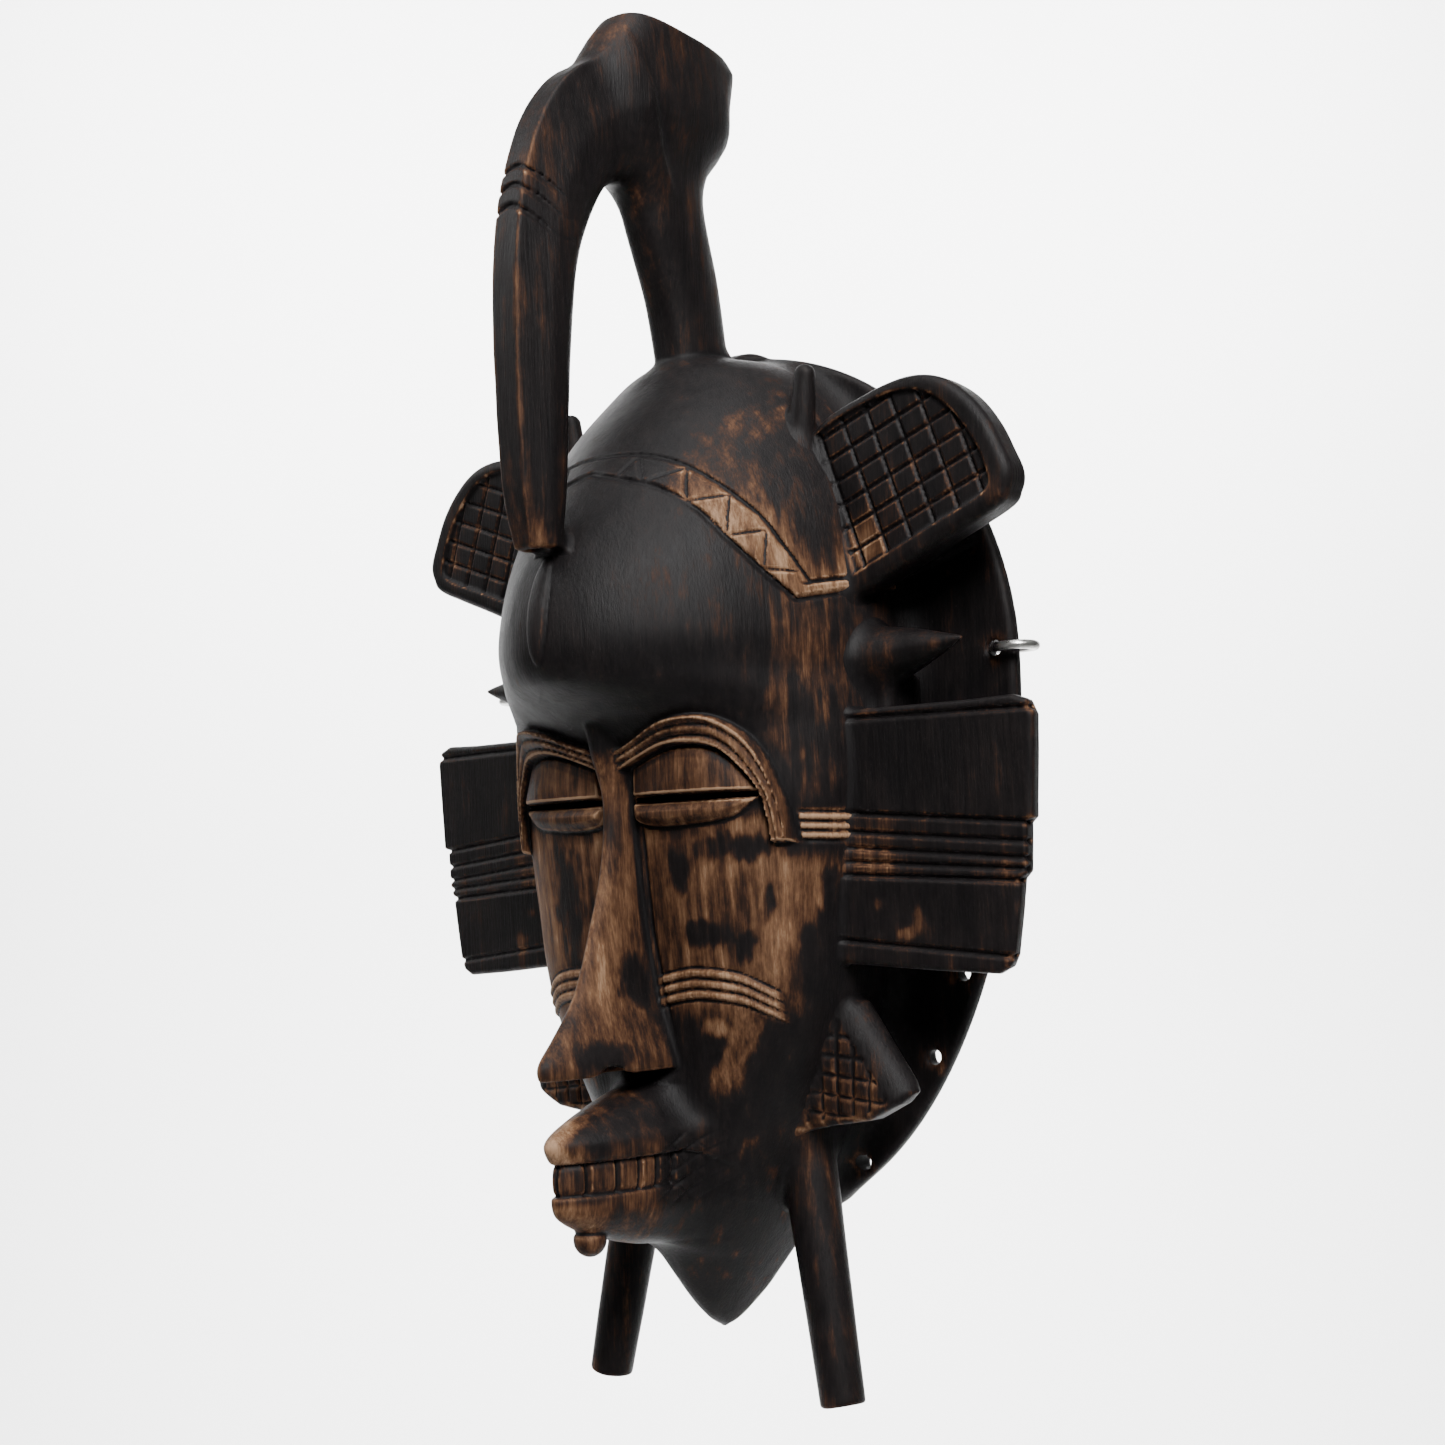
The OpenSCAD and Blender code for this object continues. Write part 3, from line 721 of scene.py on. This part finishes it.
def add_piece(name, points, quads, marks, nodes, material, body=BODY):
    """One piece of wood as a mesh object that stands for CAD nodes."""
    co = np.stack([points[:, 0], -points[:, 1], points[:, 2] - HANG_Z], 1) / 1000
    mesh = bpy.data.meshes.new(name)
    mesh.vertices.add(len(co))
    mesh.vertices.foreach_set("co", co.astype(np.float32).ravel())
    mesh.loops.add(quads.size)
    mesh.loops.foreach_set("vertex_index", quads.astype(np.int32).ravel())
    mesh.polygons.add(len(quads))
    mesh.polygons.foreach_set("loop_start", np.arange(0, quads.size, 4, dtype=np.int32))
    mesh.polygons.foreach_set("use_smooth", np.ones(len(quads), bool))
    mesh.update(calc_edges=True)
    for key, values in marks.items():
        mesh.attributes.new(key, "FLOAT", "POINT").data.foreach_set("value", values.astype(np.float32))
    mesh.materials.append(material)
    piece = bpy.data.objects.new(name, mesh)
    bpy.context.scene.collection.objects.link(piece)
    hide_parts(*nodes)
    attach(piece, body)
    return piece


def make(name, field, low, high, cell, nodes, wear):
    """A piece in the middle, or with {} in its names a piece on the right and its mirror image."""
    points, quads = carve(field, low, high, cell)
    shape = {"sunk": sunk(field, points, 0.9), "bowl": sunk(field, points, 4.0)}
    for side in ("right", "left") if "{}" in name else ("",):
        if side == "left":
            points, quads = points * [-1, 1, 1], quads[:, ::-1]
        marks = {**shape, "wear": at(wear, points)}
        add_piece(name.format(side), points, quads, marks, [n.format(side) for n in nodes], WOOD)


# ---------------------------------------------------------------- wood and steel
class Shader:
    """A material whose nodes are laid out in a row as they are made."""

    def __init__(self, name):
        self.material = bpy.data.materials.new(name)
        self.material.use_nodes = True
        self.tree = self.material.node_tree
        self.principled = self.tree.nodes["Principled BSDF"]
        self.made = 0

    def node(self, kind, settings=None, **sockets):
        made = self.tree.nodes.new(kind)
        self.made += 1
        made.location = (-2400 + 170 * (self.made // 4), 300 - 260 * (self.made % 4))
        for key, value in (settings or {}).items():
            setattr(made, key, value)
        for key, value in sockets.items():
            self.feed(made.inputs[key.replace("_", " ")], value)
        return made

    def feed(self, socket, value):
        if isinstance(value, bpy.types.NodeSocket):
            self.tree.links.new(value, socket)
        else:
            socket.default_value = value

    def math(self, kind, a, b=0.0, clamp=False):
        made = self.node("ShaderNodeMath", {"operation": kind, "use_clamp": clamp})
        self.feed(made.inputs[0], a)
        self.feed(made.inputs[1], b)
        return made.outputs[0]

    def blend(self, start, *terms):
        """The start plus each term's value times its weight."""
        total = start
        for value, weight in terms:
            total = self.math("ADD", self.math("MULTIPLY", value, weight), total)
        return total

    def grain(self, place, across, along, detail, roughness=0.6):
        """Noise drawn out along z, with that many bumps to the metre each way."""
        mapped = self.node("ShaderNodeMapping", Vector=place, Scale=(across, across, along))
        noisy = self.node("ShaderNodeTexNoise", Vector=mapped.outputs[0], Scale=1.0, Detail=detail,
                          Roughness=roughness)
        return self.math("SUBTRACT", noisy.outputs[0], 0.5)

    def ramp(self, value, stops):
        made = self.node("ShaderNodeValToRGB", Fac=value)
        elements = made.color_ramp.elements
        for place, colour in stops[2:]:
            elements.new(place)
        for element, (place, colour) in zip(elements, sorted(stops)):
            element.position, element.color = place, (*colour, 1)
        return made.outputs[0]

    def spread(self, value, low, high, to_low, to_high):
        made = self.node("ShaderNodeMapRange", Value=value, From_Min=low, From_Max=high, To_Min=to_low,
                         To_Max=to_high)
        return made.outputs[0]


def waxed_wood():
    """Black-brown stain over brown wood, worn through on edges and rubbed places, dark in the cuts."""
    sh = Shader("waxed_stained_wood")
    place = sh.node("ShaderNodeTexCoord").outputs["Object"]
    wear, sunk, bowl = (sh.node("ShaderNodeAttribute", {"attribute_name": n}).outputs["Fac"]
                        for n in ("wear", "sunk", "bowl"))
    streak = sh.grain(place, 330, 26, 5)
    fibre = sh.grain(place, 1700, 95, 4, 0.7)
    patch = sh.grain(place, 105, 60, 6, 0.68)
    cloud = sh.grain(place, 24, 14, 3)
    cut = sh.math("MAXIMUM", sunk, 0.0)
    edge = sh.math("MAXIMUM", sh.math("SUBTRACT", sh.math("MULTIPLY", sunk, -1.0), 0.1), 0.0)
    dip = sh.math("MAXIMUM", bowl, 0.0)
    bare = sh.blend(wear, (streak, 0.80), (fibre, 0.48), (patch, 0.85), (cloud, 0.25), (cut, -2.6),
                    (edge, 1.3), (dip, -0.7))
    colour = sh.ramp(bare, [
        (0.0, (0.005, 0.0042, 0.0045)), (1.0, (0.27, 0.165, 0.098)), (0.26, (0.0085, 0.0066, 0.0066)),
        (0.42, (0.024, 0.0115, 0.0075)), (0.56, (0.062, 0.028, 0.014)), (0.76, (0.128, 0.066, 0.034))])
    tone = sh.blend(1.0, (fibre, 0.7), (cloud, 0.5))
    tinted = sh.node("ShaderNodeMix", {"data_type": "RGBA", "blend_type": "MULTIPLY"})
    tinted.inputs[0].default_value = 1.0
    sh.feed(tinted.inputs[6], colour)
    grey = sh.node("ShaderNodeCombineColor", Red=tone, Green=tone, Blue=tone)
    sh.feed(tinted.inputs[7], grey.outputs[0])
    sh.feed(sh.principled.inputs["Base Color"], tinted.outputs[2])
    rough = sh.blend(sh.spread(bare, 0.2, 0.8, 0.5, 0.66), (fibre, 0.25), (patch, 0.2))
    sh.feed(sh.principled.inputs["Roughness"], rough)
    sh.principled.inputs["Specular IOR Level"].default_value = 0.13
    height = sh.blend(sh.math("MULTIPLY", fibre, 0.5), (streak, 0.5), (patch, 0.35))
    bump = sh.node("ShaderNodeBump", Height=height, Strength=0.55, Distance=0.0006)
    sh.feed(sh.principled.inputs["Normal"], bump.outputs[0])
    return sh.material


def ring_steel():
    sh = Shader("steel_wire")
    place = sh.node("ShaderNodeTexCoord").outputs["Object"]
    dull = sh.grain(place, 900, 900, 4)
    spots = sh.grain(place, 260, 260, 5)
    colour = sh.ramp(sh.blend(0.5, (dull, 0.9), (spots, 0.6)), [
        (0.0, (0.30, 0.28, 0.26)), (1.0, (0.70, 0.69, 0.67)), (0.45, (0.58, 0.57, 0.55))])
    sh.feed(sh.principled.inputs["Base Color"], colour)
    sh.principled.inputs["Metallic"].default_value = 1.0
    sh.feed(sh.principled.inputs["Roughness"], sh.blend(0.32, (dull, 0.3), (spots, 0.25)))
    bump = sh.node("ShaderNodeBump", Height=dull, Strength=0.3, Distance=0.0002)
    sh.feed(sh.principled.inputs["Normal"], bump.outputs[0])
    return sh.material


WOOD, STEEL = waxed_wood(), ring_steel()


# ---------------------------------------------------------------- where the stain has worn through, 0 to 1
def blot(x, z, at_x, at_z, wide, tall, ragged):
    """1 in the middle of a patch and 0 outside it, with a ragged edge."""
    return step(-np.hypot((x - at_x) / wide, (z - at_z) / tall) + ragged, -1.5, -0.5)


def head_wear_and_shade(x, o, z):
    side, right = np.abs(x), x > 0
    rag = (0.42 * noise(x, o, z, 3.2, 3.2, 7, 12) + 0.38 * noise(x, o, z, 1.4, 1.4, 4, 13)
           + 0.25 * noise(x, o, z, 0.8, 0.8, 2.2, 21))
    streaks = noise(x, o, z, 1.6, 2.2, 22, 14)
    wear = np.full(np.shape(x), 0.12)

    def lay(mask, amount):
        return wear + (amount - wear) * mask

    high, low = np.interp(side, *zip(*BAND_HIGH)), np.interp(side, *zip(*BAND_LOW))
    band = step(z, low - 0.6, low + 0.6) * step(-z, -high - 0.6, -high + 0.6) * step(side, 20, 30)
    cap = step(z, high, high + 1) * np.exp(-np.maximum(z - high, 0) / (11 + 9 * step(streaks, -0.6, 0.8)))
    wear = lay(cap * step(side, 20, 32) * np.clip(1 + 0.4 * streaks + 0.2 * rag, 0, 1), 0.76)
    wear = lay(band, 0.80)
    wear = lay(0.75 * blot(x, z, 33, 104, 8, 6, rag), 0.5)
    wear = lay(0.65 * blot(x, z, 36, 121, 6, 5, rag), 0.5)
    below = step(-z, -low, -low + 2) * step(z, 12, 24)
    wear = lay(below * step(side, 20, 44) * step(streaks + rag, -0.9, 0.9), 0.46)
    wear = lay(below * step(side, 43, 50) * step(-z, -74, -40) * step(streaks + rag, -0.3, 0.6), 0.46)
    temple = step(side, 48.5, 49.5) * step(z, 3, 5) * step(-z, -13.5, -11.5) * step(o, 30, 36)
    wear = lay(temple, 0.74)
    brow = step(-brow_edge(side, z), -0.6, 0.8)
    lids = step(np.maximum(-upper_lid_edge(side, z), -lower_lid_edge(side, z)), -0.4, 0.8)
    wear = lay(brow, 0.54 + 0.12 * rag)
    wear = lay(lids, 0.52 + 0.1 * rag)
    cheek = step(z, -46, -38) * step(-z, -15, -9) * step(side, 4, 6) * step(-side, -47.5, -43)
    wear = lay(cheek, 0.61 + 0.16 * streaks + 0.10 * rag)
    dark = np.maximum.reduce([
        blot(x, z, *spot, rag) for spot in (
            (34, 3.2, 8, 3.2), (17, -1.5, 3.4, 5), (25, -19.5, 6, 3.4), (36, -25, 5, 4), (42, -14, 1.8, 9),
            (-24, -14, 4.6, 19))])
    wear = lay(dark, 0.2)
    edge_run = step(-np.abs(side - np.interp(z, [-62, -12, 2], [24, 47, 49])) + 2.2 * rag, -5.5, -3)
    wear = lay(edge_run * step(z, -66, -58) * step(-z, -4, 4), 0.66)
    wear = lay(blot(x, z, 25, -45, 4, 3.4, rag), 0.72)
    scar = step(side, 7, 9) * step(-side, -43, -40) * (np.abs(scar_across(side, z) - 0.5) < 0.56)
    wear = lay(scar * 0.9, 0.72)
    jaw = step(-z, 60, 70) * step(streaks + rag, 0.05, 0.9)
    wear = lay(jaw * step(side, 3, 9) * step(-side, -34, -24), 0.36)
    muzzle_zone = step(o, 66, 72) * step(-z, 57, 60)
    wear = lay(muzzle_zone, 0.40 + 0.16 * rag)
    tip = step(o, 88, 93) * step(-z, 64, 66) * step(z, -78, -77)
    wear = lay(tip * step(-x + 3 * rag, -7, -3), 0.84)
    wear = lay(step(o, 84, 90) * step(-z, 87, 89) * step(z, -100, -96), 0.62)
    wear = lay(blot(x, z, 9, -70, 5, 3.5, rag) * muzzle_zone, 0.24)
    ridge = step(-side, -10.5, -8.5) * step(z, -57, -55.6) * step(-z, -34, -26) * step(o, 64.5, 66.5)
    wing = step(o, 60, 64) * step(z, -57, -55.6) * step(-z, 36, 44) * step(-side, -17, -14)
    wear = lay(np.maximum(ridge, wing), 0.63 - 0.12 * step(-z, 34, 44) + 0.08 * streaks + 0.12 * rag)
    spots = np.maximum(blot(o, z, 70, -32, 4, 6, rag), blot(o, z, 84, -50.5, 8, 3.4, rag)) * right
    wear = lay(spots * step(-side, -17, -14) * step(o, 62, 66), 0.2)
    # Darker over the lower forehead and the underside of its bulge: partly a darker stain, partly painted
    # shade where the bulge overhangs the eyes.
    under = step(z, 38, 44) * step(-z, -62, -54) * step(-side, -46, -36)
    wear = lay(under * 0.8, 0.04)
    inner = step(-hollow(x, o, z), -1.6, -1.2)
    return lay(inner, 0.42 + 0.14 * rag)


def crest_wear(x, o, z):
    rag = 0.5 * noise(x, o, z, 3, 3, 12, 15)
    arris = np.clip(1 - np.abs(np.abs(x) - 4.3) / 1.3, 0, 1) * step(o, 92, 97) * step(-z, -215, -190)
    tip = step(-z, -112, -86) * step(o, 88, 94)
    return 0.20 + 0.34 * arris * (0.9 + rag) + 0.22 * tip * (0.6 + rag) + 0.10 * step(z, 205, 235)


def lobe_wear(x, o, z):
    side = np.abs(x)
    column, row = lobe_grid(side, z)
    rag = noise(x, o, z, 3, 3, 4, 16)
    field = step(-lobe_inside(side, z), -0.5, 0.6) * step(o, 28, 30)
    lines = hatch(column, row, (9.5, 8.5)) * step(side, 68, 80) * field
    border = np.clip(1 - np.abs(lobe_inside(side, z)) / 0.9, 0, 1) * step(side, 66, 78) * step(o, 28, 30)
    root = step(-column, -0.1, 0.1) * step(-z, -98, -84) * field
    return 0.16 + 0.07 * rag + (0.58 + 0.3 * rag) * lines + 0.12 * border + 0.48 * root


def panel_wear(x, o, z):
    side = np.abs(x)
    u, back = panel_frame(side, o)
    rag = 0.5 * noise(x, o, z, 4, 4, 4, 17) + 0.3 * noise(x, o, z, 2, 2, 9, 18)
    root = step(-u, 34, 50) * step(back, -2, 3) * step(rag, -0.1, 0.5)
    ridge = step(-np.abs(panel_across(u, z) - 0.5), -0.5, -0.42) * step(-u, 24, 48)
    chips = blot(u, z, -42, -18, 7, 7, rag) * step(rag, 0.05, 0.4)
    cuts = np.max([np.clip(1 - np.abs(z - h + fall * u) / 0.8, 0, 1) for h, fall in PANEL_LINES], axis=0)
    light = cuts * step(noise(x, o, z, 9, 9, 9, 19), -0.1, 0.5)
    return 0.15 + 0.06 * rag + 0.36 * root + 0.24 * ridge + 0.3 * chips + 0.75 * light


def flap_wear(x, o, z):
    side = np.abs(x)
    rag = noise(x, o, z, 3, 3, 3, 20)
    column, row = flap_grid(side, z)
    bevel = -((side - 53) * 0.83 + (z + 40) * 0.55)
    field = step(bevel, 6, 7) * step(o, 33, 34.5) * step(-side, -64, -60)
    lines = hatch(column, row, (4.6, 5.0)) * step(-z, 58, 62)
    return 0.17 + field * (0.20 + 0.10 * rag + 0.4 * lines)


def flange_wear(x, o, z):
    side = np.abs(x)
    rag = 0.4 * noise(x, o, z, 2.4, 2.4, 5, 21) + 0.3 * noise(x, o, z, 1.2, 1.2, 2, 22)
    chips = np.maximum.reduce([blot(side, z, 78, 84, 5, 7, rag) * step(rag, 0.08, 0.35)]
                              + [blot(side, z, edge_x(h, i), h, 4.6, 4.6, rag) * 0.8 for h, i in RIM_HOLES])
    back = step(-o, -2.5, -1)
    return 0.15 + 0.36 * chips + 0.25 * back + 0.12 * rag


def leg_wear(x, o, z):
    rag = noise(x, o, z, 2.5, 2.5, 26, 23)
    return 0.16 + 0.16 * step(rag, -0.1, 0.8) + 0.14 * step(-z, 138, 148)


def plain_wear(x, o, z):
    return 0.20 + 0.08 * noise(x, o, z, 4, 4, 9, 24)


# ---------------------------------------------------------------- the pieces
make("carved_flange", flange_field, (-96, -1, -108), (96, 27, 152), 1.0, ["back_flange"], flange_wear)
make("carved_head", head_field, (-68, 4, -136), (68, 108, 151), 0.62,
     ["forehead_dome", "face_shell", "nose", "upper_lip", "teeth", "lower_lip", "lip_plug",
      "right_upper_eyelid", "left_upper_eyelid", "right_lower_eyelid", "left_lower_eyelid",
      "right_brow", "left_brow"],
     head_wear_and_shade)
make("carved_crest", crest_field, (-15, 2, 74), (15, 114, 250), 0.7,
     ["crest_neck", "bird_head", "beak"], crest_wear)
make("carved_lobe_{}", lobe_field, (36, 4, 60), (112, 36, 132), 0.6, ["{}_ear_lobe"], lobe_wear)
make("carved_spike_{}", spike_field, (36, 4, 22), (92, 42, 72), 0.7, ["{}_spike"], plain_wear)
make("carved_panel_{}", panel_field, (40, 8, -38), (112, 44, 46), 0.6, ["{}_side_panel"], panel_wear)
make("carved_flap_{}", flap_field, (24, 18, -82), (72, 42, -32), 0.6, ["{}_cheek_flap"], flap_wear)
make("carved_leg_{}", leg_field, (8, 8, -158), (56, 46, -48), 0.7, ["{}_leg"], leg_wear)
make("carved_peg_{}", peg_field, (32, 20, 98), (52, 44, 140), 0.6, ["{}_horn_peg"], plain_wear)


def steel_ring(side, sign):
    """A ring of round wire in a level plane, through the upper rim hole, a little uneven from bending."""
    height, inset = RIM_HOLES[0]
    centre = (edge_x(height, inset) + 5.2, FLANGE_OUT, height)
    turns, round_wire = 96, 20
    points = []
    for i in range(turns):
        a = 2 * math.pi * i / turns
        reach = RING_R + 0.06 * math.sin(3 * a + 1)
        for k in range(round_wire):
            b = 2 * math.pi * k / round_wire
            out = reach + WIRE_R * math.cos(b)
            points.append((sign * (centre[0] + out * math.cos(a)), centre[1] + out * math.sin(a),
                           centre[2] + WIRE_R * math.sin(b) + 0.05 * math.sin(2 * a)))
    quads = []
    for i in range(turns):
        here, there = i * round_wire, (i + 1) % turns * round_wire
        for k in range(round_wire):
            beside = (k + 1) % round_wire
            quads.append((here + k, there + k, there + beside, here + beside))
    quads = np.array(quads)
    if sign > 0:
        quads = quads[:, ::-1]
    add_piece(f"steel_ring_{side}", np.array(points), quads, {}, [f"{side}_ring"], STEEL,
              f"{side}_ring_body")


steel_ring("right", 1)
steel_ring("left", -1)


# ---------------------------------------------------------------- camera, floor and lights
def aimed(name, data, place, target):
    made = bpy.data.objects.new(name, data)
    bpy.context.scene.collection.objects.link(made)
    made.location = place
    made.rotation_euler = (Vector(target) - Vector(place)).to_track_quat("-Z", "Y").to_euler()
    return made


def camera_matrix(place, yaw, pitch, roll):
    """A camera that looks along +Y, turned left by yaw, tipped up by pitch and then rolled."""
    forward = Vector((-math.sin(yaw) * math.cos(pitch), math.cos(yaw) * math.cos(pitch), math.sin(pitch)))
    right = Vector((math.cos(yaw), math.sin(yaw), 0))
    up = right.cross(forward)
    side = math.cos(roll) * right + math.sin(roll) * up
    top = -math.sin(roll) * right + math.cos(roll) * up
    turn = Matrix((side, top, -forward)).transposed().to_4x4()
    return Matrix.Translation(place) @ turn


IMAGE_SIZE = 1445
CAMERA_FOCUS = 2127  # focal length, in parts of which the image is IMAGE_SIZE wide
CAMERA_YAW = math.radians(38)
camera = bpy.data.objects.new("camera", bpy.data.cameras.new("camera"))
bpy.context.scene.collection.objects.link(camera)
camera.data.sensor_width = 36
camera.data.lens = CAMERA_FOCUS / IMAGE_SIZE * 36
camera.data.clip_start, camera.data.clip_end = 0.01, 50
camera.matrix_world = camera_matrix(
    (0.3822, -0.5087, -0.1336), CAMERA_YAW, math.radians(3.64), math.radians(-2.55))
bpy.context.scene.camera = camera


FLOOR_Z = -1.3


def sweep():
    """A pale floor that runs far behind the mask and turns up into a wall."""
    bend = [(1.4 + 1.2 * math.sin(a), 1.2 - 1.2 * math.cos(a)) for a in np.linspace(0.1, math.pi / 2, 14)]
    profile = [(-4.0, 0.0), (0.0, 0.0), (1.4, 0.0)] + bend + [(2.6, 6.0)]
    verts = [(x, y, h + FLOOR_Z) for x in (-6.0, 6.0) for y, h in profile]
    n = len(profile)
    mesh = bpy.data.meshes.new("floor")
    mesh.from_pydata(verts, [], [(i, i + n, i + n + 1, i + 1) for i in range(n - 1)])
    mesh.polygons.foreach_set("use_smooth", [True] * (n - 1))
    made = bpy.data.objects.new("floor", mesh)
    bpy.context.scene.collection.objects.link(made)
    made.rotation_euler = (0, 0, CAMERA_YAW)
    return made


floor = sweep()
PALE = bpy.data.materials.new("pale_floor")
PALE.use_nodes = True
PALE.node_tree.nodes["Principled BSDF"].inputs["Base Color"].default_value = (0.9, 0.9, 0.9, 1)
PALE.node_tree.nodes["Principled BSDF"].inputs["Roughness"].default_value = 0.9
floor.data.materials.append(PALE)


def soft_box(name, place, target, size, power, spread):
    data = bpy.data.lights.new(name, "AREA")
    data.shape, data.size, data.energy, data.spread = "SQUARE", size, power, math.radians(spread)
    return aimed(name, data, place, target)


MIDDLE = (0, -0.05, -0.09)
soft_box("key", (1.15, -1.0, 1.05), MIDDLE, 0.8, 9.5, 60)
soft_box("fill", (-1.3, -0.7, 0.9), MIDDLE, 0.8, 2.4, 60)
soft_box("top", (0.1, -0.3, 1.5), MIDDLE, 0.8, 2.6, 60)
# Two more light only the floor and the wall behind.
away = Vector((-math.sin(CAMERA_YAW), math.cos(CAMERA_YAW), 0))
across = Vector((away.y, -away.x, 0))
for sign, name in ((-1, "wall_left"), (1, "wall_right")):
    place = away * 0.9 + across * 1.3 * sign + Vector((0, 0, 1.8))
    soft_box(name, place, away * 2.7 + Vector((0, 0, 0.1)), 1.6, 130, 100)
world = bpy.data.worlds.new("studio")
bpy.context.scene.world = world
world.use_nodes = True
world.node_tree.nodes["Background"].inputs["Color"].default_value = (1, 1, 1, 1)
world.node_tree.nodes["Background"].inputs["Strength"].default_value = 0.1
